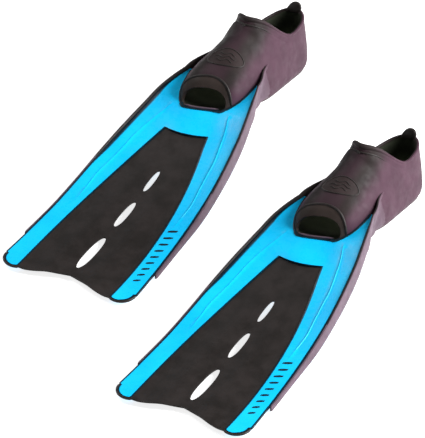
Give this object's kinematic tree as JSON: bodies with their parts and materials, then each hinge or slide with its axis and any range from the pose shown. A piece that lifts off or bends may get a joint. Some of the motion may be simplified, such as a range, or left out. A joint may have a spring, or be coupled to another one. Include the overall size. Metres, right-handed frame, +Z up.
{
  "type": "pair of full-foot swim fins",
  "caption": "Full-foot swim fins with closed rubber foot pockets, stiff blade frames, flexible slotted centre panels and raised side rails, for swimming and snorkelling.",
  "frame": {"origin": "on the floor, under the centre of the pair's bounding box", "axes": "+X across the pair from the right fin to the left fin, +Y from the blade tips to the heels, +Z up from the floor"},
  "size_m": [0.511, 0.8024, 0.1526],
  "materials": {
    "blade_plastic": "gloss",
    "panel_rubber": "satin",
    "pocket_rubber": "satin",
    "trim_rubber": "satin",
    "sole_rubber": "matte"
  },
  "bodies": {
    "right_foot": {"right_foot_plate": "blade_plastic", "right_foot_pocket": "pocket_rubber", "right_outsole": "sole_rubber", "right_outer_rail_root": "pocket_rubber", "right_inner_rail_root": "pocket_rubber", "right_ankle_rim": "trim_rubber", "right_toe_bead": "trim_rubber", "right_heel_tab": "trim_rubber", "right_instep_badge": "trim_rubber"},
    "right_blade": {"right_blade_frame": "blade_plastic", "right_blade_panel": "panel_rubber", "right_outer_rail": "pocket_rubber", "right_inner_rail": "pocket_rubber", "right_outer_tip_edge": "panel_rubber", "right_inner_tip_edge": "panel_rubber"},
    "left_foot": {"left_foot_plate": "blade_plastic", "left_foot_pocket": "pocket_rubber", "left_outsole": "sole_rubber", "left_outer_rail_root": "pocket_rubber", "left_inner_rail_root": "pocket_rubber", "left_ankle_rim": "trim_rubber", "left_toe_bead": "trim_rubber", "left_heel_tab": "trim_rubber", "left_instep_badge": "trim_rubber"},
    "left_blade": {"left_blade_frame": "blade_plastic", "left_blade_panel": "panel_rubber", "left_outer_rail": "pocket_rubber", "left_inner_rail": "pocket_rubber", "left_outer_tip_edge": "panel_rubber", "left_inner_tip_edge": "panel_rubber"}
  },
  "joints": [
    {"name": "right_blade_flex", "type": "hinge", "parent": "right_foot", "child": "right_blade", "pos_m": [-0.149, 0.13425, 0.05636], "axis": [-1, 0, 0], "range_deg": [-25, 30], "stiffness_Nm_per_rad": 40, "springref_deg": 0.6},
    {"name": "left_blade_flex", "type": "hinge", "parent": "left_foot", "child": "left_blade", "pos_m": [0.149, -0.04875, 0.05636], "axis": [-1, 0, 0], "range_deg": [-25, 30], "stiffness_Nm_per_rad": 40, "springref_deg": 0.6},
    {"name": "left_fin_lift", "type": "slide", "parent": "right_foot", "child": "left_foot", "axis": [0, 0, 1], "range_m": [0, 0.2]}
  ]
}
